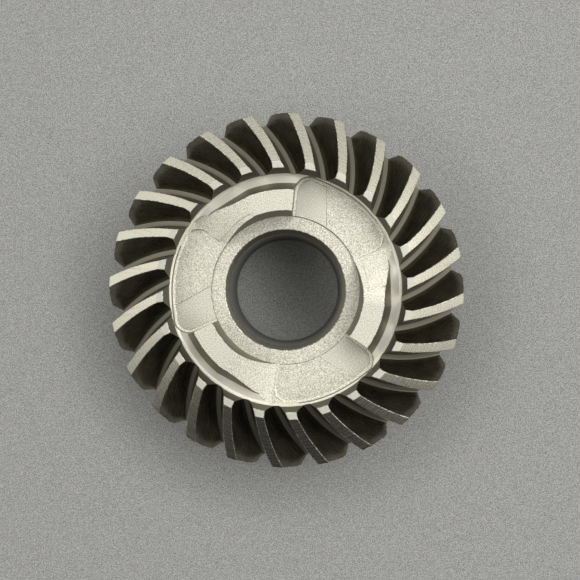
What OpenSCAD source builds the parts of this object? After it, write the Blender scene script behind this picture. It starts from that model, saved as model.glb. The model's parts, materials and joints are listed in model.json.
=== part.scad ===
// Reverse gear: a one-piece left-hand spiral bevel gear with a three-lug clutch face.
// Millimetres and degrees. The axis is Z, the gear rests on its rear boss at z = 0, and the clutch face is up.

/* [Spiral teeth] */
// Number of teeth
tooth_count = 24; // [20:1:27]
// Outside diameter over the heel tips
tip_d = 86; // [82:0.5:92]
// Diameter at the inner edge of the toe flats
toe_d = 56.9; // [54:0.2:60]
// Radial width of the flat turned on each toe
toe_flat = 1.7; // [0.6:0.1:3]
// Face cone angle from the axis
face_angle = 64; // [61:0.5:67]
// Root cone angle from the axis
root_angle = 54; // [52:0.5:57]
// Tooth depth at the heel, square to the root cone
heel_depth = 7.15; // [6:0.05:8]
// Mean spiral angle, left hand
spiral_angle = 23; // [10:1:35]
// Diameter of the face-mill cutter that sweeps each tooth space
cutter_d = 114.3; // [100:0.1:160]
// Pressure angle of both flanks
pressure_angle = 25; // [20:0.5:27]
// Width of a tooth space between the flanks at the root
root_w = 1.3; // [1:0.05:1.8]
// Fillet radius at the root
root_fillet = 0.4; // [0.3:0.05:1]
// Largest diameter, at the crown below the heel tips
crown_d = 88; // [84:0.5:94]
// Depth of the crown below the heel tips
crown_drop = 4.4; // [2:0.1:5]
// Height of the crown's plain band
crown_w = 1.4; // [0.5:0.1:2.5]
// Lean of the heel below the crown, from the axis
heel_lean = 40; // [10:1:45]
// Lean of the toe face from the axis
toe_lean = 10; // [3:0.5:15]
// Azimuth of the first tooth space at the middle of the face
tooth_phase = 2; // [0:0.1:15]

/* [Back and boss] */
// Height of the heel tips above the resting face
heel_h = 20; // [18.5:0.5:24]
// Length of the rear boss, up to the back face
boss_h = 7.5; // [5:0.5:8.5]
// Diameter of the rear boss, a bearing seat
boss_d = 40; // [36:0.5:46]
// Chamfer at the end of the rear boss
boss_chamfer = 0.8; // [0.4:0.1:1.5]
// Width of the corner relief at the foot of the boss, along the boss and along the back face
relief_w = 1.4; // [0.8:0.1:2]
// Depth of the corner relief, into the boss and into the back face
relief_depth = 0.4; // [0.2:0.1:0.8]
// Outer diameter of the flat back face
back_d = 74; // [66:0.5:78]
// Height of the bevel between the back face and the heel
back_bevel = 2.6; // [1.5:0.1:3.5]

/* [Bore] */
// Bore diameter
bore_d = 27.4; // [24:0.1:29]
// Chamfer at both ends of the bore
bore_chamfer = 0.95; // [0.3:0.05:1.5]

/* [Clutch face] */
// Number of clutch lugs
lug_count = 3; // [2:1:3]
// Azimuth of the first driving wall
wall_azimuth = 84.6; // [0:0.1:120]
// Outer diameter of the hub ring
hub_d = 35.8; // [34:0.1:38]
// Step of the hub ring below the pocket floors
hub_step = 0.4; // [0.1:0.05:1]
// Step from the tooth root at the toe down to the ring
ring_step = 0.25; // [0.1:0.05:0.6]
// Radius of the cove between the ring and the toe faces
ring_cove = 0.7; // [0.4:0.1:1.2]
// Width of the flat ring outside the lugs, measured to the toe faces
ring_w = 2.1; // [1.5:0.1:3]
// Height of the lug tops above the ring
lug_h = 4; // [2.5:0.1:5]
// Draft of the outer lug wall, over its height
lug_draft = 2.15; // [1:0.05:2.5]
// Lean of the inner lug wall from the axis
lug_lean = 6; // [2:0.5:10]
// Angle of the flat lug top, from the driving wall to the crest
lug_flat_angle = 26.4; // [20:0.2:32]
// Angle of a pocket, from the ramp foot to the driving wall
pocket_angle = 61.6; // [55:0.2:66]
// Share of a ramp that rounds over from the crest
ramp_ease = 0.3; // [0.1:0.05:0.5]
// Width of the ledge along the hub side of a ramp
ledge_w = 1.7; // [0.8:0.1:2.4]
// Step from a ramp down to its ledge
ledge_step = 0.2; // [0.1:0.05:0.3]
// Step from the foot of a ramp to the pocket floor
foot_step = 0.25; // [0.1:0.05:0.8]
// Depth of the pocket floors below the ring
pocket_depth = 1.5; // [1:0.1:2.2]
// Rim of the ring left outside a pocket, measured to the toe faces
pocket_rim = 0.4; // [0.2:0.05:1]
// Bulge of the pocket's outer corner at the driving wall
pocket_lobe = 0.5; // [0:0.05:0.8]
// Angle from the driving wall to the crease across the pocket floor, at the hub
crease_hub_angle = 28; // [22:0.5:32]
// Angle from the driving wall to the crease, at the pocket's outer edge
crease_rim_angle = 16; // [13:0.5:20]
// Step from the crease down to the deeper end of the pocket
crease_step = 0.1; // [0.05:0.05:0.2]
// Corner radius of a pocket, in plan
pocket_corner = 3.6; // [2.5:0.1:4.5]
// Fillet radius between a pocket's floor and its walls
pocket_fillet = 0.8; // [0.6:0.1:1.4]

/* [Hidden] */
$fn = 128;

pitch = 360 / tooth_count;
tip_r = tip_d / 2;
toe_r = toe_d / 2;
boss_r = boss_d / 2;
hub_r = hub_d / 2;
bore_r = bore_d / 2;
overshoot = 1;

// Root cone: the line through the foot of the heel depth, as a height over a radius
root_slope = 1 / tan(root_angle);
root_r0 = tip_r - heel_depth * cos(root_angle);
root_z0 = heel_h - heel_depth * sin(root_angle);
function root_z(r) = root_z0 + (root_r0 - r) * root_slope;

// Face cone and the toe flat
toe_z = heel_h + (tip_r - toe_r - toe_flat) / tan(face_angle);

// The toe face leans in from the toe flat and meets the root cone at its base
toe_drop = tan(toe_lean);
toe_base_r = (toe_r - toe_drop * (toe_z - root_z(0))) / (1 + toe_drop * root_slope);
ring_z = root_z(toe_base_r) - ring_step;
ring_r = toe_base_r - ring_cove;

// The heel widens from the tips to the crown, then leans in past the root cone to the bevel of the back
crown_r = crown_d / 2;
crown_z = heel_h - crown_drop;
band_z = crown_z - crown_w;
bevel_z = boss_h + back_bevel;
heel_in = tan(heel_lean);
bevel_r = crown_r - (band_z - bevel_z) * heel_in;
heel_base_r = (crown_r - heel_in * (band_z - root_z(0))) / (1 + heel_in * root_slope);

// Levels and radii of the clutch face
lug_z = ring_z + lug_h;
floor_z = ring_z - pocket_depth;
hub_z = floor_z - hub_step;
foot_z = floor_z + foot_step;
lug_base_r = toe_base_r - ring_w;
lug_top_r = lug_base_r - lug_draft;
pocket_r = toe_base_r - pocket_rim;
clear_z = max(lug_z, toe_z) + overshoot;
lug_pitch = 360 / lug_count;

// A ramp rounds over the crest and then falls evenly with the angle, to the pocket's foot; its run is
// measured along the straight outer side, down to the ring
ramp_angle = lug_pitch - lug_flat_angle - pocket_angle;
ramp_fall = lug_z - foot_z;
ramp_even = 1 - ramp_ease / 2;
function ramp_curve(t) = t < 0 ? t : t < ramp_ease ? t * t / 2 / ramp_ease : t - ramp_ease / 2;
function ramp_drop(t) = ramp_fall * ramp_curve(t) / ramp_even;
ramp_run = lug_top_r * tan(ramp_angle * (lug_h / ramp_fall * ramp_even + ramp_ease / 2));

// The middle of the face on the root cone, where the cutter's arc is set
mean_r = (toe_base_r + heel_base_r) / 2;
cutter_r = cutter_d / 2;
blade_h = heel_depth + 2.5;
// Half the cutter's sweep: its leaning blades clear the toe flats short of the lugs, and run past the heel
toe_depth = (toe_z - root_z(toe_r)) * sin(root_angle);
toe_skew = (root_w / 2 + toe_depth * tan(pressure_angle)) * tan(spiral_angle);
toe_end_r = toe_r - toe_depth * cos(root_angle) - toe_skew;
toe_sweep = (mean_r - toe_end_r) / sin(root_angle) / cos(spiral_angle) / cutter_r * 180 / PI;
heel_sweep = (crown_r - mean_r + 3 * overshoot) / sin(root_angle) / cos(spiral_angle) / cutter_r * 180 / PI;

// The blank: boss, back, heel, face cone, toe and ring, turned about the axis
cove_steps = 4;
cove = [for (i = [0:cove_steps]) let (a = 90 * i / cove_steps)
    [toe_base_r - ring_cove * (1 - cos(a)), ring_z + ring_cove * (1 - sin(a))]];
blank_outline = concat(
    [
        [0, 0],
        [boss_r - boss_chamfer, 0],
        [boss_r, boss_chamfer],
        [boss_r, boss_h - relief_w],
        [boss_r - relief_depth, boss_h - relief_w + relief_depth],
        [boss_r - relief_depth, boss_h + relief_depth],
        [boss_r + relief_w - relief_depth, boss_h + relief_depth],
        [boss_r + relief_w, boss_h],
        [back_d / 2, boss_h],
        [bevel_r, bevel_z],
        [crown_r, band_z],
        [crown_r, crown_z],
        [tip_r, heel_h],
        [toe_r + toe_flat, toe_z],
        [toe_r, toe_z]
    ],
    cove,
    [[0, ring_z]]
);

// One blade of the cutter: a trapezoid with rounded tip corners, outside its axis
fillet = min(root_fillet, 0.7 * root_w);
tip_flat = root_w / 2 - fillet * tan(45 - pressure_angle / 2);
blade_steps = 2;
blade_corner = [for (i = [0:blade_steps]) let (a = (90 - pressure_angle) * i / blade_steps)
    [tip_flat + fillet * sin(a), fillet * (1 - cos(a))]];
blade_top = [root_w / 2 + blade_h * tan(pressure_angle), blade_h];
blade_half = concat(blade_corner, [blade_top]);
blade_count = len(blade_half);
blade_outline = concat(
    [for (p = blade_half) [cutter_r + p[0], p[1]]],
    [for (i = [1:blade_count]) let (p = blade_half[blade_count - i]) [cutter_r - p[0], p[1]]]
);

module blank() {
    rotate_extrude() polygon(blank_outline);
}

// A tooth space is the arc that the cutter's blades sweep, square to the root cone
module tooth_space() {
    translate([mean_r, 0, root_z(mean_r)])
        rotate([0, 90 - root_angle, 0])
            rotate([0, 0, spiral_angle])
                translate([0, cutter_r, 0])
                    rotate([0, 0, 270 - toe_sweep])
                        rotate_extrude(angle = toe_sweep + heel_sweep) polygon(blade_outline);
}

// The bore with a chamfer at each end, and the conical well over the hub ring
module bore() {
    translate([0, 0, -overshoot]) cylinder(h = clear_z + 2 * overshoot, r = bore_r);
    translate([0, 0, -overshoot])
        cylinder(h = bore_chamfer + overshoot, r1 = bore_r + bore_chamfer + overshoot, r2 = bore_r);
    translate([0, 0, hub_z - bore_chamfer])
        cylinder(h = bore_chamfer + overshoot, r1 = bore_r, r2 = bore_r + bore_chamfer + overshoot);
}

module hub_well() {
    well_h = clear_z - hub_z;
    translate([0, 0, hub_z]) cylinder(h = well_h, r1 = hub_r, r2 = hub_r + well_h * tan(lug_lean));
}

// A solid between a ring of points below and a matching ring above, both anticlockwise
module loft(rings) {
    n = len(rings[0]);
    top = len(rings) - 1;
    polyhedron(
        points = [for (ring = rings) each ring],
        faces = concat(
            [[for (i = [0:n - 1]) i]],
            [for (j = [0:top - 1]) for (i = [0:n - 1])
                let (k = (i + 1) % n) [(j + 1) * n + i, (j + 1) * n + k, j * n + k, j * n + i]],
            [[for (i = [1:n]) top * n + n - i]]
        )
    );
}

// A lug, in a frame whose X axis is the crest: an arc with drafted walls whose outer side runs
// straight past the crest, along the edge of the ramp
lug_sink = 1;
lug_past = 40;
lug_ahead = 0.6;
function straight_x(y, z) = lug_top_r + lug_draft * ((lug_z - z) / lug_h - y / ramp_run);
module lug() {
    low = ring_z - lug_sink;
    low_r = lug_base_r + lug_draft * lug_sink / lug_h;
    far = tip_r;
    sides = [-overshoot, far];
    difference() {
        rotate([0, 0, -lug_flat_angle - lug_ahead])
            rotate_extrude(angle = lug_flat_angle + lug_ahead + lug_past)
                polygon([[bore_r + bore_chamfer, low], [low_r, low], [lug_top_r, lug_z],
                    [bore_r + bore_chamfer, lug_z]]);
        loft([for (z = [low - overshoot, clear_z])
            [[straight_x(sides[0], z), sides[0], z], [far, sides[0], z], [far, sides[1], z],
                [straight_x(sides[1], z), sides[1], z]]]);
    }
}

// What is cut away above a ramp: its floor falls from the crest to its foot beside the next pocket,
// and stays level round the pocket's corner
ramp_steps = 10;
ramp_bands = 3;
ramp_side = 0.05;
ramp_level = 14;
ramp_ahead = 3;
ramp_in = hub_r - overshoot;
function ramp_r(k) = ramp_in + (toe_base_r - ramp_in) * k / ramp_bands;
module ramp_space(reach, step, start) {
    far = tip_r;
    falling = [for (i = [0:ramp_steps]) start + (ramp_angle - start) * i / ramp_steps];
    intersection() {
        translate([0, 0, floor_z]) cylinder(h = clear_z - floor_z, r = reach);
        translate([ramp_side, -far, floor_z]) cube([lug_top_r, 2 * far, clear_z]);
        loft([for (a = [each falling, ramp_angle + ramp_level])
            let (low = max(lug_z - ramp_drop(a / ramp_angle), foot_z) - step, high = clear_z + overshoot)
                [[each polar(ramp_in, a), high], [each polar(toe_base_r, a), high],
                    each [for (k = [ramp_bands:-1:0]) [each polar(ramp_r(k), a), low]]]]);
    }
}

// A ramp, with the ledge that steps down along its hub side a little past the crest
module ramp_spaces() {
    ramp_space(ring_r + ring_cove / 2, 0, -ramp_ahead);
    ramp_space(hub_r + ledge_w, ledge_step, ramp_ahead);
}

// A pocket's outline at an inset from its walls, in a frame whose X axis is the driving wall
corner_steps = 6;
arc_steps = 9;
pocket_in = bore_r + bore_chamfer + hub_r;
function lobe_share(a) = let (t = min(max(1 + a / (pocket_angle / 2.6), 0), 1)) t * t * (3 - 2 * t);
function arc_r(a) = pocket_r + pocket_lobe * lobe_share(a);
function swing(r) = asin(pocket_corner / (r - pocket_corner));
function polar(r, a) = [r * cos(a), r * sin(a)];
function pocket_outline(inset) =
    let (
        foot = -pocket_angle,
        wall_r = pocket_r + pocket_lobe,
        foot_swing = foot + swing(pocket_r),
        wall_swing = -swing(wall_r),
        foot_corner = polar(pocket_r - pocket_corner, foot_swing),
        wall_corner = polar(wall_r - pocket_corner, wall_swing),
        round_r = pocket_corner - inset
    )
    concat(
        [polar(pocket_in / 2, foot) + polar(inset, foot + 90)],
        [for (i = [0:corner_steps]) let (a = foot - 90 + (foot_swing - foot + 90) * i / corner_steps)
            foot_corner + polar(round_r, a)],
        [for (i = [1:arc_steps - 1]) let (a = foot_swing + (wall_swing - foot_swing) * i / arc_steps)
            polar(arc_r(a) - inset, a)],
        [for (i = [0:corner_steps]) let (a = wall_swing + (90 - wall_swing) * i / corner_steps)
            wall_corner + polar(round_r, a)],
        [polar(pocket_in / 2, 0) + polar(inset, -90)]
    );

// A pocket: a flat floor with a fillet all round, open upwards
fillet_steps = 3;
module pocket() {
    loft(concat(
        [for (i = [0:fillet_steps]) let (a = 90 * i / fillet_steps)
            [for (p = pocket_outline(pocket_fillet * (1 - sin(a))))
                [p[0], p[1], floor_z + pocket_fillet * (1 - cos(a))]]],
        [[for (p = pocket_outline(0)) [p[0], p[1], clear_z]]]
    ));
}

// The end of a pocket by the driving wall, a little deeper behind a straight crease
module pocket_end() {
    crease_in = polar(hub_r, -crease_hub_angle);
    crease_out = polar(pocket_r, -crease_rim_angle);
    crease = crease_out - crease_in;
    deep_z = floor_z - crease_step;
    intersection() {
        translate([0, 0, deep_z])
            linear_extrude(height = crease_step + overshoot) polygon(pocket_outline(pocket_fillet));
        translate([0, 0, deep_z - overshoot])
            linear_extrude(height = crease_step + 3 * overshoot)
                polygon([crease_in - crease / 2, crease_out + crease, polar(tip_r, lug_flat_angle),
                    polar(bore_r, lug_flat_angle)]);
    }
}

module reverse_gear() {
    color([0.74, 0.73, 0.68])
        difference() {
            union() {
                blank();
                for (i = [0:lug_count - 1])
                    rotate([0, 0, wall_azimuth + lug_flat_angle + i * lug_pitch]) lug();
            }
            bore();
            hub_well();
            for (i = [0:lug_count - 1]) {
                rotate([0, 0, wall_azimuth + i * lug_pitch]) pocket();
                rotate([0, 0, wall_azimuth + i * lug_pitch]) pocket_end();
                rotate([0, 0, wall_azimuth + lug_flat_angle + i * lug_pitch]) ramp_spaces();
            }
            for (i = [0:tooth_count - 1])
                rotate([0, 0, tooth_phase + i * pitch]) tooth_space();
        }
}

reverse_gear();
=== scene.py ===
"""Reverse gear: left-hand spiral teeth round a ramped clutch face, dressed over its frame."""
import json
import math

import bmesh
import bpy
from bpy.props import FloatProperty, FloatVectorProperty, IntProperty, PointerProperty
from mathutils import Matrix, Vector

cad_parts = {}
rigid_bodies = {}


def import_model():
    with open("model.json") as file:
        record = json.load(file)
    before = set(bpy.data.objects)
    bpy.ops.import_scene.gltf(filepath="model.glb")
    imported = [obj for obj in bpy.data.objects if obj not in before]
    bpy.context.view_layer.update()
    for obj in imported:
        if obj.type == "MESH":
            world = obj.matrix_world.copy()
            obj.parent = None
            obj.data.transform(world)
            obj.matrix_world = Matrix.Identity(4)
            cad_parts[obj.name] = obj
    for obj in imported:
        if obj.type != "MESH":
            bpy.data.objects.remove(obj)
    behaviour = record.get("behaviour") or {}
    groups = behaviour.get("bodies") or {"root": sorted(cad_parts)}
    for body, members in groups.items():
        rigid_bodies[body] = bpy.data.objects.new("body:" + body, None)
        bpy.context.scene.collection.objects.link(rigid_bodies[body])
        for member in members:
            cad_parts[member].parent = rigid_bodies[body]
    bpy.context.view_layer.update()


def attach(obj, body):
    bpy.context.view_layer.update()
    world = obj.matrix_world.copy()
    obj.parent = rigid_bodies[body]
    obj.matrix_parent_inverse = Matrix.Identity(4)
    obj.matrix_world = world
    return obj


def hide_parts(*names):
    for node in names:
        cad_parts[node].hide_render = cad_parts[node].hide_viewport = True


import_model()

bl_info = {
    "name": "Reverse gear",
    "version": (1, 0, 0),
    "blender": (4, 5, 0),
    "location": "3D View > Sidebar > Gear",
    "description": "Builds a spiral bevel reverse gear with a ramped clutch face",
    "category": "Add Mesh",
}

TAU = 2 * math.pi
PAST = 0.001


def length(name, description, default):
    return FloatProperty(name=name, description=description, default=default,
                         subtype="DISTANCE", unit="LENGTH", precision=5)


def turn(name, description, degrees):
    return FloatProperty(name=name, description=description, default=math.radians(degrees),
                         subtype="ANGLE", unit="ROTATION")


def number(name, description, default):
    return IntProperty(name=name, description=description, default=default, min=1)


def tint(name, description, default):
    return FloatVectorProperty(name=name, description=description, default=default,
                               subtype="COLOR", size=3, min=0.0, max=1.0)


class ToothSizes(bpy.types.PropertyGroup):
    count: number("Teeth", "Number of teeth", 24)
    tip_d: length("Tip diameter", "Diameter over the heel tips", 0.086)
    toe_d: length("Toe diameter", "Diameter at the inner edge of the toe flats", 0.0569)
    toe_flat: length("Toe flat", "Radial width of the flat turned on each toe", 0.0017)
    face_angle: turn("Face angle", "Face cone angle from the axis", 64)
    root_angle: turn("Root angle", "Root cone angle from the axis", 54)
    heel_depth: length("Heel depth", "Tooth depth at the heel, square to the root cone", 0.00715)
    spiral: turn("Spiral angle", "Mean spiral angle, left hand", 23)
    cutter_d: length("Cutter diameter", "Diameter of the face-mill cutter", 0.1143)
    pressure: turn("Pressure angle", "Pressure angle of both flanks", 25)
    root_w: length("Root width", "Width of a tooth space at the root", 0.0013)
    root_fillet: length("Root fillet", "Fillet radius at the root", 0.0004)
    crown_d: length("Crown diameter", "Largest diameter, below the heel tips", 0.088)
    crown_drop: length("Crown drop", "Depth of the crown below the heel tips", 0.0044)
    crown_w: length("Crown band", "Height of the crown's plain band", 0.0014)
    heel_lean: turn("Heel lean", "Lean of the heel below the crown", 40)
    toe_lean: turn("Toe lean", "Lean of the toe face", 10)
    phase: turn("Tooth phase", "Azimuth of the first tooth space", 2)


class BodySizes(bpy.types.PropertyGroup):
    heel_h: length("Heel height", "Height of the heel tips above the resting face", 0.020)
    boss_h: length("Boss length", "Length of the rear boss", 0.0075)
    boss_d: length("Boss diameter", "Diameter of the rear boss", 0.040)
    boss_chamfer: length("Boss chamfer", "Chamfer at the end of the boss", 0.0008)
    relief_w: length("Relief width", "Width of the corner relief at the foot of the boss", 0.0014)
    relief_depth: length("Relief depth", "Depth of the corner relief", 0.0004)
    back_d: length("Back diameter", "Outer diameter of the flat back face", 0.074)
    back_bevel: length("Back bevel", "Height of the bevel behind the heel", 0.0026)
    bore_d: length("Bore", "Bore diameter", 0.0274)
    bore_chamfer: length("Bore chamfer", "Chamfer at both ends of the bore", 0.00095)


class ClutchSizes(bpy.types.PropertyGroup):
    count: number("Lugs", "Number of clutch lugs", 3)
    wall_azimuth: turn("Wall azimuth", "Azimuth of the first driving wall", 84.6)
    hub_d: length("Hub diameter", "Outer diameter of the hub ring", 0.0358)
    hub_step: length("Hub step", "Step of the hub ring below the pockets", 0.0004)
    ring_step: length("Ring step", "Step from the toe root down to the ring", 0.00025)
    ring_cove: length("Ring cove", "Radius of the cove under the toe faces", 0.0007)
    ring_w: length("Ring width", "Width of the ring outside the lugs", 0.0021)
    lug_h: length("Lug height", "Height of the lug tops above the ring", 0.004)
    lug_draft: length("Lug draft", "Draft of the outer lug wall", 0.00215)
    lug_lean: turn("Lug lean", "Lean of the inner lug wall", 6)
    lug_flat: turn("Lug flat", "Angle of the flat lug top", 26.4)
    pocket_angle: turn("Pocket angle", "Angle of a pocket", 61.6)
    ramp_ease: FloatProperty(name="Ramp ease", description="Share of a ramp that rounds over from the crest",
                             default=0.3)
    ledge_w: length("Ledge width", "Width of the ledge along the hub side of a ramp", 0.0017)
    ledge_step: length("Ledge step", "Step from a ramp down to its ledge", 0.0002)
    foot_step: length("Foot step", "Step from a ramp's foot to the pocket", 0.00025)
    pocket_depth: length("Pocket depth", "Depth of the pockets below the ring", 0.0015)
    pocket_rim: length("Pocket rim", "Rim of the ring left outside a pocket", 0.0004)
    pocket_lobe: length("Pocket lobe", "Bulge of the pocket at the driving wall", 0.0005)
    crease_hub: turn("Crease at hub", "Angle from the driving wall to the floor's crease, at the hub", 28)
    crease_rim: turn("Crease at rim", "Angle from the driving wall to the floor's crease, at the rim", 16)
    crease_step: length("Crease step", "Step from the crease down to the pocket's end", 0.0001)
    pocket_corner: length("Pocket corner", "Corner radius of a pocket in plan", 0.0036)
    pocket_fillet: length("Pocket fillet", "Fillet between a pocket's floor and walls", 0.0008)
    edge_break: length("Edge break", "Width of the broken sharp edges", 0.0001)


class GearFinish(bpy.types.PropertyGroup):
    land: tint("Tooth lands", "Ground tops of the teeth", (0.61, 0.592, 0.486))
    ring: tint("Turned ring", "Turned ring and toe flats", (0.90, 0.876, 0.76))
    flank: tint("Tooth flanks", "Dark lapped sides of the teeth", (0.18, 0.17, 0.13))
    root: tint("Tooth roots", "Milled roots of the teeth", (0.23, 0.219, 0.171))
    blast: tint("Clutch face", "Fine-blasted lugs, pockets and hub", (0.82, 0.79, 0.675))
    wall: tint("Steep walls", "Toe faces and lug walls", (0.215, 0.204, 0.157))
    bore: tint("Bore", "Honed bore", (0.66, 0.65, 0.59))
    edge: tint("Broken edges", "Bright worn edges", (0.54, 0.527, 0.45))
    floor: tint("Floor", "Plain floor", (0.30, 0.302, 0.294))


class Form:
    """Levels and radii of the gear, in metres, worked out from its sizes."""

    def __init__(self, scene):
        t, b, c = scene.gear_teeth, scene.gear_body, scene.gear_clutch
        self.t, self.b, self.c = t, b, c
        self.tip_r, self.toe_r = t.tip_d / 2, t.toe_d / 2
        self.bore_r, self.hub_r, self.boss_r = b.bore_d / 2, c.hub_d / 2, b.boss_d / 2
        self.root_slope = 1 / math.tan(t.root_angle)
        self.root_r0 = self.tip_r - t.heel_depth * math.cos(t.root_angle)
        self.root_z0 = b.heel_h - t.heel_depth * math.sin(t.root_angle)
        self.toe_z = b.heel_h + (self.tip_r - self.toe_r - t.toe_flat) / math.tan(t.face_angle)
        drop = math.tan(t.toe_lean)
        self.toe_base_r = ((self.toe_r - drop * (self.toe_z - self.root_z(0)))
                           / (1 + drop * self.root_slope))
        self.ring_z = self.root_z(self.toe_base_r) - c.ring_step
        self.ring_r = self.toe_base_r - c.ring_cove
        self.crown_r = t.crown_d / 2
        self.crown_z = b.heel_h - t.crown_drop
        self.band_z = self.crown_z - t.crown_w
        self.bevel_z = b.boss_h + b.back_bevel
        lean = math.tan(t.heel_lean)
        self.bevel_r = self.crown_r - (self.band_z - self.bevel_z) * lean
        self.heel_base_r = ((self.crown_r - lean * (self.band_z - self.root_z(0)))
                            / (1 + lean * self.root_slope))
        self.lug_z = self.ring_z + c.lug_h
        self.floor_z = self.ring_z - c.pocket_depth
        self.hub_z = self.floor_z - c.hub_step
        self.foot_z = self.floor_z + c.foot_step
        self.lug_base_r = self.toe_base_r - c.ring_w
        self.lug_top_r = self.lug_base_r - c.lug_draft
        self.pocket_r = self.toe_base_r - c.pocket_rim
        self.clear_z = max(self.lug_z, self.toe_z) + PAST
        self.ramp_angle = TAU / c.count - c.lug_flat - c.pocket_angle
        self.ramp_fall = self.lug_z - self.foot_z
        even = c.lug_h / self.ramp_fall * (1 - c.ramp_ease / 2) + c.ramp_ease / 2
        self.ramp_run = self.lug_top_r * math.tan(self.ramp_angle * even)
        self.mean_r = (self.toe_base_r + self.heel_base_r) / 2
        self.cutter_r = t.cutter_d / 2
        toe_depth = (self.toe_z - self.root_z(self.toe_r)) * math.sin(t.root_angle)
        toe_skew = (t.root_w / 2 + toe_depth * math.tan(t.pressure)) * math.tan(t.spiral)
        self.toe_end_r = self.toe_r - toe_depth * math.cos(t.root_angle) - toe_skew

    def ramp_z(self, angle):
        """Height of a ramp at an angle past its crest: it rounds over, then falls evenly to its foot."""
        share, ease = angle / self.ramp_angle, self.c.ramp_ease
        if 0 <= share < ease:
            share = share * share / 2 / ease
        elif share >= ease:
            share -= ease / 2
        return max(self.lug_z - self.ramp_fall * share / (1 - ease / 2), self.foot_z)

    def root_z(self, r):
        return self.root_z0 + (self.root_r0 - r) * self.root_slope


# Mesh helpers

def polar(r, angle):
    return Vector((r * math.cos(angle), r * math.sin(angle)))


def as_object(name, bm, materials=()):
    bmesh.ops.recalc_face_normals(bm, faces=bm.faces)
    mesh = bpy.data.meshes.new(name)
    bm.to_mesh(mesh)
    bm.free()
    for material in materials:
        mesh.materials.append(material)
    obj = bpy.data.objects.new(name, mesh)
    bpy.context.scene.collection.objects.link(obj)
    return obj


def revolve(outline, marks, steps, sweep=None):
    """Turns a closed outline of (radius, height) about Z; each edge's mark is its faces' material."""
    bm = bmesh.new()
    path = bm.loops.layers.uv.new("path")
    floor = bm.faces.layers.int.new("floor")
    closed = sweep is None
    count = steps if closed else steps + 1
    angles = [(TAU if closed else sweep) * i / steps for i in range(count)]
    columns = [[bm.verts.new((r * math.cos(a), r * math.sin(a), z)) for a in angles]
               for r, z in outline]
    reach = [0.0]
    for p, q in zip(outline, outline[1:] + outline[:1]):
        reach.append(reach[-1] + math.hypot(q[0] - p[0], q[1] - p[1]))
    n = len(outline)
    for i in range(n):
        for k in range(steps):
            corners = ((i, k), (i, k + 1), (i + 1, k + 1), (i + 1, k))
            face = bm.faces.new([columns[j % n][m % count] for j, m in corners])
            face.material_index = marks[i]
            face[floor] = marks[i]
            for loop, (j, m) in zip(face.loops, corners):
                radius = outline[j % n][0]
                loop[path].uv = (angles[-1] * m / max(count - 1, 1) * radius, reach[j])
    if not closed:
        for k in (0, -1):
            bm.faces.new([column[k] for column in columns])
    return bm


def loft(rings, cap_marks=(0, 0), wall_marks=None):
    """Closes a solid between matching rings of points."""
    bm = bmesh.new()
    bm.loops.layers.uv.new("path")
    floor = bm.faces.layers.int.new("floor")
    layers = [[bm.verts.new(p) for p in ring] for ring in rings]
    n = len(rings[0])
    for j in range(len(layers) - 1):
        for i in range(n):
            k = (i + 1) % n
            face = bm.faces.new((layers[j][i], layers[j][k], layers[j + 1][k], layers[j + 1][i]))
            face[floor] = wall_marks[j] if wall_marks else 0
    bm.faces.new(layers[0])[floor] = cap_marks[0]
    bm.faces.new(layers[-1])[floor] = cap_marks[1]
    bmesh.ops.triangulate(bm, faces=bm.faces)
    return bm


def prism(points, depth_axis):
    """Extrudes a closed outline of 3-D points along a vector."""
    bm = bmesh.new()
    bm.loops.layers.uv.new("path")
    bm.faces.layers.int.new("floor")
    near = [bm.verts.new(p) for p in points]
    far = [bm.verts.new(Vector(p) + depth_axis) for p in points]
    n = len(points)
    for i in range(n):
        k = (i + 1) % n
        bm.faces.new((near[i], near[k], far[k], far[i]))
    bm.faces.new(near)
    bm.faces.new(far)
    return bm


def settle(obj):
    """Turns an object's evaluated shape into its own plain mesh, with no modifier left."""
    view = bpy.context.evaluated_depsgraph_get()
    mesh = bpy.data.meshes.new_from_object(obj.evaluated_get(view), preserve_all_data_layers=True,
                                           depsgraph=view)
    obj.modifiers.clear()
    old = obj.data
    obj.data = mesh
    bpy.data.meshes.remove(old)


def discard(obj):
    mesh = obj.data
    bpy.data.objects.remove(obj)
    bpy.data.meshes.remove(mesh)


def combine(obj, other, operation):
    """Joins, cuts or intersects two closed solids, and keeps each face's material."""
    step = obj.modifiers.new(operation, "BOOLEAN")
    step.operation = operation
    step.solver = "MANIFOLD"
    step.object = other
    step.material_mode = "TRANSFER"
    settle(obj)
    discard(other)


# Geometry nodes: a pattern of copies round the axis

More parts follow.
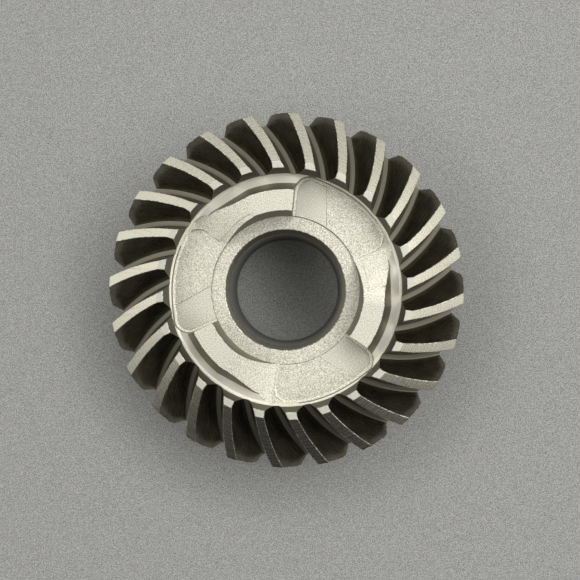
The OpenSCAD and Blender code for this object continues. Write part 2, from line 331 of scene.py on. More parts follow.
def ring_pattern_tree():
    tree = bpy.data.node_groups.get("Ring pattern")
    if tree:
        return tree
    tree = bpy.data.node_groups.new("Ring pattern", "GeometryNodeTree")
    sockets = tree.interface
    sockets.new_socket("Geometry", in_out="INPUT", socket_type="NodeSocketGeometry")
    sockets.new_socket("Count", in_out="INPUT", socket_type="NodeSocketInt")
    sockets.new_socket("Phase", in_out="INPUT", socket_type="NodeSocketFloat")
    sockets.new_socket("Wall material", in_out="INPUT", socket_type="NodeSocketMaterial")
    sockets.new_socket("Floor material", in_out="INPUT", socket_type="NodeSocketMaterial")
    sockets.new_socket("Geometry", in_out="OUTPUT", socket_type="NodeSocketGeometry")
    add, link = tree.nodes.new, tree.links.new
    given, out = add("NodeGroupInput"), add("NodeGroupOutput")
    points = add("GeometryNodePoints")
    link(given.outputs["Count"], points.inputs["Count"])
    index = add("GeometryNodeInputIndex")
    pitch = add("ShaderNodeMath")
    pitch.operation = "DIVIDE"
    pitch.inputs[0].default_value = TAU
    link(given.outputs["Count"], pitch.inputs[1])
    angle = add("ShaderNodeMath")
    angle.operation = "MULTIPLY_ADD"
    link(index.outputs[0], angle.inputs[0])
    link(pitch.outputs[0], angle.inputs[1])
    link(given.outputs["Phase"], angle.inputs[2])
    euler = add("ShaderNodeCombineXYZ")
    link(angle.outputs[0], euler.inputs["Z"])
    spin = add("FunctionNodeEulerToRotation")
    link(euler.outputs[0], spin.inputs[0])
    copies = add("GeometryNodeInstanceOnPoints")
    link(points.outputs[0], copies.inputs["Points"])
    link(given.outputs["Geometry"], copies.inputs["Instance"])
    link(spin.outputs[0], copies.inputs["Rotation"])
    real = add("GeometryNodeRealizeInstances")
    link(copies.outputs[0], real.inputs[0])
    walls = add("GeometryNodeSetMaterial")
    link(real.outputs[0], walls.inputs["Geometry"])
    link(given.outputs["Wall material"], walls.inputs["Material"])
    mark = add("GeometryNodeInputNamedAttribute")
    mark.data_type = "INT"
    mark.inputs["Name"].default_value = "floor"
    floors = add("GeometryNodeSetMaterial")
    link(walls.outputs[0], floors.inputs["Geometry"])
    link(mark.outputs["Attribute"], floors.inputs["Selection"])
    link(given.outputs["Floor material"], floors.inputs["Material"])
    link(floors.outputs[0], out.inputs[0])
    return tree


def ring_pattern(obj, count, phase, wall, floor):
    step = obj.modifiers.new("Ring pattern", "NODES")
    step.node_group = ring_pattern_tree()
    values = {"Count": count, "Phase": phase, "Wall material": wall, "Floor material": floor}
    for item in step.node_group.interface.items_tree:
        if item.in_out == "INPUT" and item.name in values:
            step[item.identifier] = values[item.name]
    settle(obj)


# Shader helpers

class Sheet:
    """Short hands for a node tree: add a node with its values, and link by name."""

    def __init__(self, tree):
        self.tree = tree

    def add(self, kind, settings=None, **links):
        node = self.tree.nodes.new(kind)
        for key, value in (settings or {}).items():
            if hasattr(node, key):
                setattr(node, key, value)
            else:
                node.inputs[key].default_value = value
        for key, source in links.items():
            self.join(source, node, key.replace("_", " "))
        return node

    def join(self, source, node, key):
        socket = node.inputs[int(key[2:])] if key.startswith("in") else node.inputs[key]
        self.tree.links.new(source, socket)

    def math(self, operation, a, b=None, c=None, clamp=False):
        node = self.tree.nodes.new("ShaderNodeMath")
        node.operation = operation
        node.use_clamp = clamp
        for socket, value in zip(node.inputs, (a, b, c)):
            if isinstance(value, (int, float)):
                socket.default_value = value
            elif value is not None:
                self.tree.links.new(value, socket)
        return node.outputs[0]

    def span(self, value, low, high, to_low=0.0, to_high=1.0):
        node = self.tree.nodes.new("ShaderNodeMapRange")
        for key, number in (("From Min", low), ("From Max", high),
                            ("To Min", to_low), ("To Max", to_high)):
            node.inputs[key].default_value = number
        self.tree.links.new(value, node.inputs["Value"])
        return node.outputs["Result"]

    def mix(self, factor, a, b):
        node = self.tree.nodes.new("ShaderNodeMix")
        node.data_type = "RGBA"
        for socket, value in ((node.inputs[0], factor), (node.inputs[6], a), (node.inputs[7], b)):
            if isinstance(value, (int, float)):
                socket.default_value = value
            elif isinstance(value, tuple):
                socket.default_value = (*value, 1.0)
            else:
                self.tree.links.new(value, socket)
        return node.outputs[2]


def shader_group(name, inputs, outputs):
    tree = bpy.data.node_groups.new(name, "ShaderNodeTree")
    for label, value in inputs:
        tree.interface.new_socket(label, in_out="INPUT", socket_type="NodeSocketFloat").default_value = value
    for label in outputs:
        tree.interface.new_socket(label, in_out="OUTPUT", socket_type="NodeSocketFloat")
    sheet = Sheet(tree)
    return sheet, tree.nodes.new("NodeGroupInput").outputs, tree.nodes.new("NodeGroupOutput")


def millimetres(sheet):
    place = sheet.tree.nodes.new("ShaderNodeTexCoord").outputs["Object"]
    scaled = sheet.add("ShaderNodeVectorMath", {"operation": "SCALE", "Scale": 1000.0}, in0=place)
    return scaled.outputs[0]


def grain_group():
    """Fine blasted grain with broad uneven patches."""
    name = "Blast grain"
    if name in bpy.data.node_groups:
        return bpy.data.node_groups[name]
    sheet, given, out = shader_group(name, (("Grain", 6.0), ("Patch", 0.35)), ("Grain", "Patch"))
    place = millimetres(sheet)
    fine = sheet.add("ShaderNodeTexNoise", {"Detail": 2.0, "Roughness": 0.6}, Vector=place,
                     Scale=given["Grain"])
    broad = sheet.add("ShaderNodeTexNoise", {"Detail": 3.0, "Roughness": 0.55}, Vector=place,
                      Scale=given["Patch"])
    sheet.tree.links.new(fine.outputs[0], out.inputs["Grain"])
    sheet.tree.links.new(broad.outputs[0], out.inputs["Patch"])
    return sheet.tree


def lathe_group():
    """Fine circular lines that a lathe leaves round the axis."""
    name = "Lathe lines"
    if name in bpy.data.node_groups:
        return bpy.data.node_groups[name]
    sheet, given, out = shader_group(name, (("Pitch", 7.0), ("Waver", 0.12)), ("Lines",))
    place = millimetres(sheet)
    axes = sheet.add("ShaderNodeSeparateXYZ", in0=place).outputs
    radius = sheet.math("SQRT", sheet.math("ADD", sheet.math("MULTIPLY", axes[0], axes[0]),
                                           sheet.math("MULTIPLY", axes[1], axes[1])))
    waver = sheet.add("ShaderNodeTexNoise", {"Scale": 0.5, "Detail": 1.0}, Vector=place).outputs[0]
    depth = sheet.math("ADD", sheet.math("ADD", radius, axes[2]),
                       sheet.math("MULTIPLY", waver, given["Waver"]))
    lines = sheet.add("ShaderNodeTexNoise", {"noise_dimensions": "1D", "Detail": 1.0, "Roughness": 0.6},
                      W=sheet.math("MULTIPLY", depth, given["Pitch"]))
    sheet.tree.links.new(lines.outputs[0], out.inputs["Lines"])
    return sheet.tree


def tool_group():
    """Lines along the sweep of the tooth cutter, from the path map of the tooth spaces."""
    name = "Cutter lines"
    if name in bpy.data.node_groups:
        return bpy.data.node_groups[name]
    sheet, given, out = shader_group(name, (("Across", 9000.0), ("Along", 60.0)), ("Lines",))
    path = sheet.add("ShaderNodeUVMap", {"uv_map": "path"}).outputs[0]
    parts = sheet.add("ShaderNodeSeparateXYZ", in0=path).outputs
    stretched = sheet.add("ShaderNodeCombineXYZ", X=sheet.math("MULTIPLY", parts[0], given["Along"]),
                          Y=sheet.math("MULTIPLY", parts[1], given["Across"]))
    lines = sheet.add("ShaderNodeTexNoise", {"noise_dimensions": "2D", "Scale": 1.0, "Detail": 2.0,
                                             "Roughness": 0.6}, Vector=stretched.outputs[0])
    sheet.tree.links.new(lines.outputs[0], out.inputs["Lines"])
    return sheet.tree


def scuff_group():
    """Sparse bright nicks and short scratches from handling."""
    name = "Scuffs"
    if name in bpy.data.node_groups:
        return bpy.data.node_groups[name]
    sheet, given, out = shader_group(name, (("Nicks", 0.70), ("Scratches", 0.69)), ("Scuffs",))
    place = millimetres(sheet)
    dots = sheet.add("ShaderNodeTexNoise", {"Scale": 1.6, "Detail": 2.0}, Vector=place).outputs[0]
    slant = sheet.add("ShaderNodeMapping", {"Rotation": (0.5, 0.9, 0.6), "Scale": (0.22, 2.6, 1.3)},
                      Vector=place).outputs[0]
    marks = sheet.add("ShaderNodeTexNoise", {"Scale": 1.0, "Detail": 1.0, "Distortion": 0.6},
                      Vector=slant).outputs[0]
    nicks = sheet.math("MULTIPLY", sheet.math("SUBTRACT", dots, given["Nicks"]), 30.0, clamp=True)
    lines = sheet.math("MULTIPLY", sheet.math("SUBTRACT", marks, given["Scratches"]), 30.0, clamp=True)
    sheet.tree.links.new(sheet.math("MAXIMUM", nicks, lines), out.inputs["Scuffs"])
    return sheet.tree


def metal(name, color, roughness, metallic=1.0):
    """A bare metal: returns the material, its sheet and its shader."""
    material = bpy.data.materials.new(name)
    material.use_nodes = True
    sheet = Sheet(material.node_tree)
    shader = material.node_tree.nodes["Principled BSDF"]
    shader.inputs["Metallic"].default_value = metallic
    shader.inputs["Roughness"].default_value = roughness
    shader.inputs["Base Color"].default_value = (*color, 1.0)
    material.diffuse_color = (*color, 1.0)
    return material, sheet, shader


def use_group(sheet, tree, **values):
    node = sheet.tree.nodes.new("ShaderNodeGroup")
    node.node_tree = tree
    for key, value in values.items():
        node.inputs[key.replace("_", " ")].default_value = value
    return node.outputs


def shade(color, factor):
    return tuple(min(1.0, c * factor) for c in color)


def bump(sheet, shader, height, distance):
    node = sheet.add("ShaderNodeBump", {"Distance": distance, "Strength": 1.0}, Height=height)
    sheet.tree.links.new(node.outputs[0], shader.inputs["Normal"])


def blasted_steel(color):
    material, sheet, shader = metal("Blasted steel", color, 0.5, 0.35)
    grain = use_group(sheet, grain_group(), Grain=5.0, Patch=0.3)
    tone = sheet.mix(sheet.span(grain["Grain"], 0.39, 0.61), shade(color, 0.52), shade(color, 1.25))
    warm = sheet.mix(sheet.span(grain["Patch"], 0.45, 0.8, 0.0, 0.35), tone, shade(color, 0.86))
    sheet.tree.links.new(warm, shader.inputs["Base Color"])
    sheet.tree.links.new(sheet.span(grain["Grain"], 0.2, 0.8, 0.48, 0.62), shader.inputs["Roughness"])
    bump(sheet, shader, grain["Grain"], 0.00003)
    return material


def turned_steel(name, color, roughness, pitch, metallic=1.0):
    material, sheet, shader = metal(name, color, roughness, metallic)
    lines = use_group(sheet, lathe_group(), Pitch=pitch)["Lines"]
    grain = use_group(sheet, grain_group(), Grain=5.0)
    tone = sheet.mix(sheet.span(lines, 0.3, 0.7), shade(color, 0.92), shade(color, 1.06))
    tone = sheet.mix(sheet.span(grain["Grain"], 0.4, 0.65, 0.3, 0.0), tone, shade(color, 0.6))
    sheet.tree.links.new(tone, shader.inputs["Base Color"])
    sheet.tree.links.new(sheet.span(lines, 0.2, 0.8, roughness - 0.05, roughness + 0.08),
                         shader.inputs["Roughness"])
    bump(sheet, shader, lines, 0.000002)
    return material


def bore_steel(color, top):
    """A honed bore whose colour darkens with depth below its mouth: painted shade for the dim inside of the
    bore.
    """
    material, sheet, shader = metal("Bore", color, 0.33)
    lines = use_group(sheet, lathe_group(), Pitch=9.0)["Lines"]
    height = sheet.add("ShaderNodeSeparateXYZ", in0=millimetres(sheet)).outputs[2]
    tone = sheet.mix(sheet.span(lines, 0.3, 0.7), shade(color, 0.90), shade(color, 1.06))
    # Painted shade: from 2 mm to 16 mm below the bore's mouth the colour is mixed nine tenths of the way
    # towards 0.08 of itself.
    depth = sheet.span(height, 1000 * top - 16.0, 1000 * top - 2.0, 0.9, 0.0)
    sheet.tree.links.new(sheet.mix(depth, tone, shade(color, 0.08)), shader.inputs["Base Color"])
    sheet.tree.links.new(sheet.span(lines, 0.2, 0.8, 0.28, 0.41), shader.inputs["Roughness"])
    bump(sheet, shader, lines, 0.000006)
    return material


def flank_steel(color, bright):
    material, sheet, shader = metal("Tooth flank", color, 0.26)
    lines = use_group(sheet, tool_group(), Across=5000.0, Along=60.0)["Lines"]
    scuffs = use_group(sheet, scuff_group())["Scuffs"]
    grain = use_group(sheet, grain_group(), Patch=0.25)
    tone = sheet.mix(sheet.span(grain["Patch"], 0.35, 0.7), shade(color, 0.8), shade(color, 1.35))
    tone = sheet.mix(sheet.math("MULTIPLY", scuffs, 0.35), tone, shade(bright, 0.6))
    sheet.tree.links.new(tone, shader.inputs["Base Color"])
    sheet.tree.links.new(sheet.span(lines, 0.2, 0.8, 0.20, 0.32), shader.inputs["Roughness"])
    bump(sheet, shader, lines, 0.000004)
    return material


def root_steel(color):
    material, sheet, shader = metal("Tooth root", color, 0.36)
    lines = use_group(sheet, tool_group(), Across=2200.0, Along=8.0)["Lines"]
    tone = sheet.mix(sheet.span(lines, 0.36, 0.64), shade(color, 0.75), shade(color, 1.3))
    sheet.tree.links.new(tone, shader.inputs["Base Color"])
    sheet.tree.links.new(sheet.span(lines, 0.2, 0.8, 0.30, 0.45), shader.inputs["Roughness"])
    bump(sheet, shader, lines, 0.00001)
    return material


def edge_steel(color):
    material, sheet, shader = metal("Broken edge", color, 0.4)
    scuffs = use_group(sheet, scuff_group(), Nicks=0.55, Scratches=0.6)["Scuffs"]
    tone = sheet.mix(scuffs, shade(color, 0.45), shade(color, 1.3))
    sheet.tree.links.new(tone, shader.inputs["Base Color"])
    sheet.tree.links.new(sheet.span(scuffs, 0.0, 1.0, 0.46, 0.36), shader.inputs["Roughness"])
    return material


def finishes(scene):
    """The gear's materials by name, made once."""
    f = scene.gear_finish
    made = bpy.data.materials
    if "Blasted steel" not in made:
        blasted_steel(tuple(f.blast))
        turned_steel("Tooth land", tuple(f.land), 0.24, 6.0)
        turned_steel("Turned ring", tuple(f.ring), 0.50, 3.0, 0.55)
        turned_steel("Toe flat", shade(tuple(f.ring), 0.84), 0.50, 3.0, 0.55)
        turned_steel("Turned back", shade(tuple(f.ring), 0.6), 0.30, 3.0)
        turned_steel("Steep wall", tuple(f.wall), 0.42, 5.0)
        # Painted shade: the toe faces take the wall steel at half its colour, a darker copy of it for faces
        # in shade.
        turned_steel("Toe face", shade(tuple(f.wall), 0.5), 0.42, 5.0)
        bore_steel(tuple(f.bore), Form(scene).hub_z)
        flank_steel(tuple(f.flank), tuple(f.land))
        root_steel(tuple(f.root))
        edge_steel(tuple(f.edge))
    names = ("Blasted steel", "Tooth land", "Turned ring", "Toe flat", "Turned back", "Steep wall",
             "Toe face", "Bore", "Tooth flank", "Tooth root", "Broken edge")
    return {name: made[name] for name in names}


class GEAR_OT_blank(bpy.types.Operator):
    """Turn the blank: boss, back, crown, face cone, toe, cove and ring"""
    bl_idname = "gear.blank"
    bl_label = "Turned blank"

    def execute(self, context):
        form = Form(context.scene)
        t, b, c = form.t, form.b, form.c
        look = finishes(context.scene)
        back, land, ring, wall, toe, flat = range(6)
        inner = form.bore_r * 0.6
        spots = [
            (inner, 0, back),
            (form.boss_r - b.boss_chamfer, 0, back),
            (form.boss_r, b.boss_chamfer, back),
            (form.boss_r, b.boss_h - b.relief_w, wall),
            (form.boss_r - b.relief_depth, b.boss_h - b.relief_w + b.relief_depth, wall),
            (form.boss_r - b.relief_depth, b.boss_h + b.relief_depth, wall),
            (form.boss_r + b.relief_w - b.relief_depth, b.boss_h + b.relief_depth, wall),
            (form.boss_r + b.relief_w, b.boss_h, back),
            (b.back_d / 2, b.boss_h, back),
            (form.bevel_r, form.bevel_z, back),
            (form.crown_r, form.band_z, back),
            (form.crown_r, form.crown_z, back),
            (form.tip_r, b.heel_h, land),
            (form.toe_r + t.toe_flat, form.toe_z, flat),
            (form.toe_r, form.toe_z, toe),
        ]
        cove_steps = 7
        for i in range(cove_steps + 1):
            a = math.pi / 2 * i / cove_steps
            spots.append((form.toe_base_r - c.ring_cove * (1 - math.cos(a)),
                          form.ring_z + c.ring_cove * (1 - math.sin(a)), ring))
        spots.append((inner, form.ring_z, ring))
        bm = revolve([(r, z) for r, z, _ in spots], [mark for _, _, mark in spots], 360)
        as_object("blank", bm, [look[n] for n in ("Turned back", "Tooth land", "Turned ring", "Steep wall",
                                                  "Toe face", "Toe flat")])
        return {"FINISHED"}


class GEAR_OT_tooth_spaces(bpy.types.Operator):
    """Sweep one tooth space as the face-mill cutter does, and repeat it round the root cone"""
    bl_idname = "gear.tooth_spaces"
    bl_label = "Tooth spaces"

    def execute(self, context):
        form = Form(context.scene)
        t = form.t
        look = finishes(context.scene)
        fillet = min(t.root_fillet, 0.7 * t.root_w)
        flat = t.root_w / 2 - fillet * math.tan(math.pi / 4 - t.pressure / 2)
        height = t.heel_depth + 2.5 * PAST
        steps = 6
        half = []
        for i in range(steps + 1):
            a = (math.pi / 2 - t.pressure) * i / steps
            half.append((flat + fillet * math.sin(a), fillet * (1 - math.cos(a))))
        half.append((t.root_w / 2 + height * math.tan(t.pressure), height))
        outline = ([(form.cutter_r + x, y) for x, y in half]
                   + [(form.cutter_r - x, y) for x, y in reversed(half)])
        n = len(half)
        root, flank = 1, 0
        marks = [root] * (n - 2) + [flank] * 3 + [root] * (n - 2) + [root]
        reach = math.sin(t.root_angle) * math.cos(t.spiral) * form.cutter_r
        toe = (form.mean_r - form.toe_end_r) / reach
        heel = (form.crown_r - form.mean_r + 3 * PAST) / reach
        bm = revolve(outline, marks, 40, toe + heel)
        place = (Matrix.Translation((form.mean_r, 0, form.root_z(form.mean_r)))
                 @ Matrix.Rotation(math.pi / 2 - t.root_angle, 4, "Y")
                 @ Matrix.Rotation(t.spiral, 4, "Z")
                 @ Matrix.Translation((0, form.cutter_r, 0))
                 @ Matrix.Rotation(1.5 * math.pi - toe, 4, "Z"))
        bm.transform(place)
        spaces = as_object("tooth_spaces", bm)
        ring_pattern(spaces, t.count, t.phase, look["Tooth flank"], look["Tooth root"])
        return {"FINISHED"}


class GEAR_OT_clutch(bpy.types.Operator):
    """Shape one lug, ramp and pocket of the clutch face, and repeat them round the axis"""
    bl_idname = "gear.clutch"
    bl_label = "Clutch face"

    def execute(self, context):
        form = Form(context.scene)
        look = finishes(context.scene)
        c = form.c
        crest = c.wall_azimuth + c.lug_flat
        wall, blast = look["Steep wall"], look["Blasted steel"]
        ring_pattern(self.lug(form), c.count, crest, wall, blast)
        ahead = math.radians(3)
        ramp = self.ramp("ramps", form, form.ring_r + c.ring_cove / 2, 0, -ahead)
        ledge = self.ramp("ledges", form, form.hub_r + c.ledge_w, c.ledge_step, ahead)
        ring_pattern(ramp, c.count, crest, blast, blast)
        ring_pattern(ledge, c.count, crest, blast, blast)
        pocket, end = self.pocket(form)
        ring_pattern(pocket, c.count, c.wall_azimuth, wall, blast)
        ring_pattern(end, c.count, c.wall_azimuth, wall, blast)
        return {"FINISHED"}

    def lug(self, form):
        c, b = form.c, form.b
        sink, past, ahead = PAST, math.radians(40), math.radians(0.6)
        low = form.ring_z - sink
        low_r = form.lug_base_r + c.lug_draft * sink / c.lug_h
        inner = form.bore_r + b.bore_chamfer
        bm = revolve([(inner, low), (low_r, low), (form.lug_top_r, form.lug_z), (inner, form.lug_z)],
                     (0, 0, 1, 0), 64, c.lug_flat + ahead + past)
        bm.transform(Matrix.Rotation(-c.lug_flat - ahead, 4, "Z"))
        lug = as_object("lugs", bm)
        far = form.tip_r

        def side_x(y, z):
            return form.lug_top_r + c.lug_draft * ((form.lug_z - z) / c.lug_h - y / form.ramp_run)

        rings = [[(side_x(-PAST, z), -PAST, z), (far, -PAST, z), (far, far, z), (side_x(far, z), far, z)]
                 for z in (low - PAST, form.clear_z)]
        combine(lug, as_object("lug_side", loft(rings)), "DIFFERENCE")
        return lug

    def ramp(self, name, form, reach, step, start):
        far, steps, bands = form.tip_r, 40, 8
        angles = [start + (form.ramp_angle - start) * i / steps for i in range(steps + 1)]
        angles.append(form.ramp_angle + math.radians(14))
        high, inner = form.clear_z + PAST, form.hub_r - PAST
        rings = []
        for a in angles:
            low = form.ramp_z(a) - step
            radii = [inner + (form.toe_base_r - inner) * k / bands for k in range(bands, -1, -1)]
            spots = [(inner, high), (form.toe_base_r, high)] + [(r, low) for r in radii]
            rings.append([(*polar(r, a), z) for r, z in spots])
        ramp = as_object(name, loft(rings))
        side = 0.05 * PAST
        outer = side + form.lug_top_r
        corners = [(side, -far, 0), (outer, -far, 0), (outer, far, 0), (side, far, 0)]
        combine(ramp, as_object("ramp_side", prism(corners, Vector((0, 0, 2 * high)))), "INTERSECT")
        round_bm = revolve([(PAST * 0.01, form.floor_z), (reach, form.floor_z),
                            (reach, form.clear_z), (PAST * 0.01, form.clear_z)], (0, 0, 0, 0), 180)
        combine(ramp, as_object("ramp_reach", round_bm), "INTERSECT")
        return ramp

    def pocket(self, form):
        c, b = form.c, form.b
        foot = -c.pocket_angle
        inner = (form.bore_r + b.bore_chamfer + form.hub_r) / 2
        corner_steps, arc_steps, fillet_steps = 12, 24, 7
        corner = c.pocket_corner
        wall_r = form.pocket_r + c.pocket_lobe

        def swing(r):
            return math.asin(corner / (r - corner))

        def arc_r(a):
            share = min(max(1 + a / (c.pocket_angle / 2.6), 0), 1)
            return form.pocket_r + c.pocket_lobe * share * share * (3 - 2 * share)

        foot_swing, wall_swing = foot + swing(form.pocket_r), -swing(wall_r)
        foot_corner = polar(form.pocket_r - corner, foot_swing)
        wall_corner = polar(wall_r - corner, wall_swing)

        def outline(inset):
            points = [polar(inner, foot) + polar(inset, foot + math.pi / 2)]
            for i in range(corner_steps + 1):
                a = foot - math.pi / 2 + (foot_swing - foot + math.pi / 2) * i / corner_steps
                points.append(foot_corner + polar(corner - inset, a))
            for i in range(1, arc_steps):
                a = foot_swing + (wall_swing - foot_swing) * i / arc_steps
                points.append(polar(arc_r(a) - inset, a))
            for i in range(corner_steps + 1):
                a = wall_swing + (math.pi / 2 - wall_swing) * i / corner_steps
                points.append(wall_corner + polar(corner - inset, a))
            points.append(polar(inner, 0) + polar(inset, -math.pi / 2))
            return points

        rings = []
        for i in range(fillet_steps + 1):
            a = math.pi / 2 * i / fillet_steps
            z = form.floor_z + c.pocket_fillet * (1 - math.cos(a))
            rings.append([(p.x, p.y, z) for p in outline(c.pocket_fillet * (1 - math.sin(a)))])
        rings.append([(p.x, p.y, form.clear_z) for p in outline(0)])
        # Painted shade: the two steepest fillet bands take the dark wall steel along with the wall itself, a
        # dark line along the inside of the pocket's rim.
        marks = [1] * (fillet_steps - 2) + [0] * 3
        pocket = as_object("pockets", loft(rings, (1, 0), marks))
        return pocket, self.pocket_end(form, outline(c.pocket_fillet))

    def pocket_end(self, form, outline):
        c = form.c
        low, high = form.floor_z - c.crease_step, form.floor_z + PAST
        end = as_object("pocket_ends", loft([[(p.x, p.y, z) for p in outline] for z in (low, high)],
                                            (1, 0)))
        inside, rim = polar(form.hub_r, -c.crease_hub), polar(form.pocket_r, -c.crease_rim)
        crease = rim - inside
        spots = [inside - crease / 2, rim + crease, polar(form.tip_r, c.lug_flat),
                 polar(form.bore_r, c.lug_flat)]
        behind = prism([(p.x, p.y, low - PAST) for p in spots], Vector((0, 0, 4 * PAST)))
        combine(end, as_object("behind_crease", behind), "INTERSECT")
        return end


class GEAR_OT_gear(bpy.types.Operator):
    """Cut the blank to the finished gear, break its edges and set it on the frame"""
    bl_idname = "gear.gear"
    bl_label = "Finished gear"

    def execute(self, context):
        form = Form(context.scene)
        look = finishes(context.scene)
        objects = context.scene.objects
        gear = objects["blank"]
        combine(gear, objects["lugs"], "UNION")
        combine(gear, self.bore(form, look), "DIFFERENCE")
        for name in ("ramps", "ledges", "pockets", "pocket_ends", "tooth_spaces"):
            combine(gear, objects[name], "DIFFERENCE")
        gear.name = gear.data.name = "gear"
        self.break_edges(gear, form, look["Broken edge"])
        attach(gear, "root")
        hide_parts("reverse_gear")
        return {"FINISHED"}

    def bore(self, form, look):
        b, c = form.b, form.c
        inner = form.bore_r * 0.5
        well = form.clear_z - form.hub_z
        spots = [
            (inner, -PAST, 0),
            (form.bore_r + b.bore_chamfer + PAST, -PAST, 1),
            (form.bore_r, b.bore_chamfer, 0),
            (form.bore_r, form.hub_z - b.bore_chamfer, 1),
            (form.bore_r + b.bore_chamfer, form.hub_z, 2),
            (form.hub_r, form.hub_z, 1),
            (form.hub_r + well * math.tan(c.lug_lean), form.clear_z, 0),
            (inner, form.clear_z, 0),
        ]
        bm = revolve([(r, z) for r, z, _ in spots], [mark for _, _, mark in spots], 240)
        return as_object("bore", bm, [look[n] for n in ("Bore", "Steep wall", "Blasted steel")])

    def break_edges(self, gear, form, edge):
        """Bevels the sharp outer edges, except under the toes and on the ledges' small steps."""
        near, toe_reach, toe_drop, hair, flush = 0.0002, 0.002, 0.0004, 0.00003, 0.00002
        soft_angle, bevel_angle = math.radians(20), math.radians(30)
        mesh = gear.data
        bm = bmesh.new()
        bm.from_mesh(mesh)
        bmesh.ops.remove_doubles(bm, verts=bm.verts, dist=0.00001)
        bmesh.ops.dissolve_degenerate(bm, edges=bm.edges, dist=0.000005)
        for face in bm.faces:
            face.smooth = True
        weight = bm.edges.layers.float.new("bevel_weight_edge")
        for line in bm.edges:
            if len(line.link_faces) != 2:
                continue
            angle = line.calc_face_angle_signed(0)
            middle = (line.verts[0].co + line.verts[1].co) / 2
            level = [face.normal.z > 0.9999 for face in line.link_faces]
            ring_rim = abs(middle.z - form.ring_z) < flush and level[0] != level[1]
            line.smooth = abs(angle) < soft_angle and not ring_rim
            out = middle.xy.length
            crowded = (form.ring_r - near < out < form.toe_r + toe_reach
                       and middle.z < form.toe_z - toe_drop)
            ledge = (out < form.hub_r + form.c.ledge_w + near
                     and form.foot_z - near < middle.z < form.lug_z - hair)
            if angle > bevel_angle and not crowded and not ledge:
                line[weight] = 1.0
        bm.to_mesh(mesh)
        bm.free()
        mesh.materials.append(edge)
        step = gear.modifiers.new("Broken edges", "BEVEL")
        step.width = form.c.edge_break
        step.segments = 2
        step.limit_method = "WEIGHT"
        step.use_clamp_overlap = False
        step.material = len(mesh.materials) - 1
        even = gear.modifiers.new("Even normals", "WEIGHTED_NORMAL")
        even.keep_sharp = True
        even.weight = 95
        settle(gear)


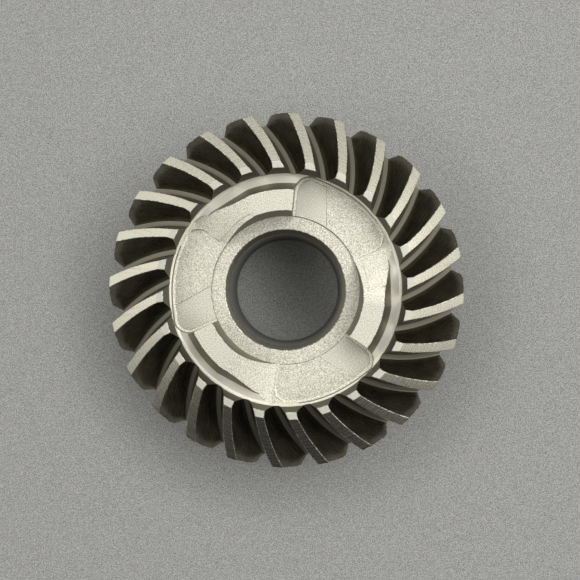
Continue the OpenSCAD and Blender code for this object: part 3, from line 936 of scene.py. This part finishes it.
class GEAR_OT_stage(bpy.types.Operator):
    """Lay the floor, light the gear softly and set the camera over it"""
    bl_idname = "gear.stage"
    bl_label = "Stage"

    def execute(self, context):
        scene = context.scene
        scene.view_settings.view_transform = "Standard"
        self.floor(scene)
        self.world(scene)
        self.lamp("key", (0.33, 0.18, 0.53), 0.50, 1.25)
        self.camera(scene)
        return {"FINISHED"}

    def floor(self, scene):
        bm = bmesh.new()
        bmesh.ops.create_grid(bm, x_segments=1, y_segments=1, size=1.5)
        bmesh.ops.translate(bm, verts=bm.verts, vec=(0, 0, -0.00005))
        color = tuple(scene.gear_finish.floor)
        material = bpy.data.materials.new("Plain floor")
        material.use_nodes = True
        sheet = Sheet(material.node_tree)
        shader = material.node_tree.nodes["Principled BSDF"]
        shader.inputs["Roughness"].default_value = 0.9
        grain = use_group(sheet, grain_group(), Grain=4.0)
        tone = sheet.mix(sheet.span(grain["Grain"], 0.3, 0.7), shade(color, 0.35), shade(color, 1.65))
        sheet.tree.links.new(tone, shader.inputs["Base Color"])
        as_object("floor", bm, [material])

    def world(self, scene):
        world = bpy.data.worlds.new("Soft studio")
        world.use_nodes = True
        scene.world = world
        sheet = Sheet(world.node_tree)
        aim = sheet.tree.nodes.new("ShaderNodeTexCoord").outputs["Generated"]
        axes = sheet.add("ShaderNodeSeparateXYZ", in0=aim).outputs
        behind = sheet.span(axes[1], -0.58, -0.08, 0.03, 0.62)
        sides = sheet.span(sheet.math("ABSOLUTE", axes[0]), 0.45, 0.90, 0.0, 0.65)
        walls = sheet.math("MULTIPLY", sheet.math("MULTIPLY_ADD", sides, behind, behind),
                           sheet.span(axes[0], -0.9, 0.9, 1.15, 0.85))
        horizon = 0.42
        above = sheet.math("MULTIPLY", sheet.span(axes[2], 0.05, 0.17),
                           sheet.math("SUBTRACT", walls, horizon))
        walls = sheet.math("ADD", above, horizon)
        canopy = sheet.math("MULTIPLY", sheet.span(axes[1], -0.66, -0.42, 0.15, 4.3),
                            sheet.span(axes[0], -0.5, 0.4, 1.0, 1.1))
        lift = sheet.span(axes[2], 0.55, 0.62)
        raised = sheet.math("MULTIPLY", lift, sheet.math("SUBTRACT", canopy, walls))
        dome = sheet.math("MULTIPLY", sheet.math("ADD", walls, raised),
                          sheet.span(axes[2], 0.71, 0.77, 1.0, 0.006))
        back = world.node_tree.nodes["Background"]
        back.inputs["Color"].default_value = (1.0, 0.99, 0.96, 1.0)
        sheet.tree.links.new(dome, back.inputs["Strength"])

    def lamp(self, name, place, size, power):
        light = bpy.data.lights.new(name, "AREA")
        light.shape = "DISK"
        light.size = size
        light.energy = power
        lamp = bpy.data.objects.new(name, light)
        lamp.location = place
        lamp.rotation_euler = (-Vector(place)).to_track_quat("-Z", "Y").to_euler()
        bpy.context.scene.collection.objects.link(lamp)

    def camera(self, scene):
        data = bpy.data.cameras.new("camera")
        data.sensor_width = 36.0
        data.lens = 39.75
        data.clip_start = 0.01
        camera = bpy.data.objects.new("camera", data)
        camera.location = (0.00476, 0.0, 0.175)
        camera.rotation_euler = (0.0, math.atan2(0.00365, 0.155), 0.0)
        scene.collection.objects.link(camera)
        scene.camera = camera


class GEAR_PT_panel(bpy.types.Panel):
    """Lists the steps that build the gear"""
    bl_idname = "GEAR_PT_panel"
    bl_label = "Reverse gear"
    bl_space_type = "VIEW_3D"
    bl_region_type = "UI"
    bl_category = "Gear"

    def draw(self, context):
        for step in STEPS:
            self.layout.operator(step.bl_idname)


STEPS = (GEAR_OT_blank, GEAR_OT_tooth_spaces, GEAR_OT_clutch, GEAR_OT_gear, GEAR_OT_stage)
GROUPS = (("gear_teeth", ToothSizes), ("gear_body", BodySizes), ("gear_clutch", ClutchSizes),
          ("gear_finish", GearFinish))


def register():
    for name, group in GROUPS:
        bpy.utils.register_class(group)
        setattr(bpy.types.Scene, name, PointerProperty(type=group))
    for step in STEPS:
        bpy.utils.register_class(step)
    bpy.utils.register_class(GEAR_PT_panel)


def unregister():
    bpy.utils.unregister_class(GEAR_PT_panel)
    for step in reversed(STEPS):
        bpy.utils.unregister_class(step)
    for name, group in reversed(GROUPS):
        delattr(bpy.types.Scene, name)
        bpy.utils.unregister_class(group)


def main():
    register()
    bpy.ops.gear.blank()
    bpy.ops.gear.tooth_spaces()
    bpy.ops.gear.clutch()
    bpy.ops.gear.gear()
    bpy.ops.gear.stage()


if __name__ == "__main__":
    main()
